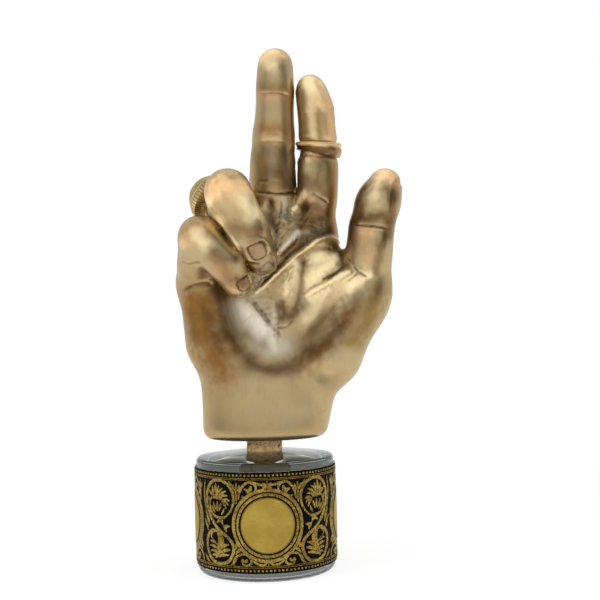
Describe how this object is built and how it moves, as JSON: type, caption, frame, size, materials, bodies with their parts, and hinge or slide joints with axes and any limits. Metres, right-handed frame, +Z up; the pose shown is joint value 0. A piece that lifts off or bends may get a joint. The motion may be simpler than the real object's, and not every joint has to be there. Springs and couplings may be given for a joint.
{
  "type": "hand sculpture bottle stopper",
  "caption": "Cast hand in a blessing gesture on a cork that closes a low round glass bottle with an ornamental metal band.",
  "frame": {"origin": "centre of the bottle's flat underside", "axes": "+Z up along the bottle's axis, -Y the side the palm faces, +X the thumb's side"},
  "size_m": [0.1171, 0.0867, 0.2692],
  "materials": {
    "clear_glass": "polished",
    "black_gold_band": "satin",
    "medallion_gold": "satin",
    "cork": "matte",
    "screw_steel": "satin",
    "gold_casting": "satin",
    "insert_brass": "satin",
    "signet_gold": "satin"
  },
  "bodies": {
    "bottle": {"glass_bottle": "clear_glass", "ornament_band": "black_gold_band", "medallion_front": "medallion_gold", "medallion_right": "medallion_gold", "medallion_rear": "medallion_gold", "medallion_left": "medallion_gold"},
    "stopper": {"cork_stopper": "cork", "hanger_screw": "screw_steel"},
    "hand": {"hand_casting": "gold_casting", "wrist_insert": "insert_brass", "index_ring": "gold_casting", "signet_ring": "signet_gold", "signet_seal": "signet_gold"}
  },
  "joints": [
    {"name": "stopper_lift", "type": "slide", "parent": "bottle", "child": "stopper", "axis": [0, 0, 1], "range_m": [0, 0.045]},
    {"name": "hand_turn", "type": "hinge", "parent": "stopper", "child": "hand", "pos_m": [0, 0, 0.0683], "axis": [0, 0, 1], "continuous": true}
  ]
}
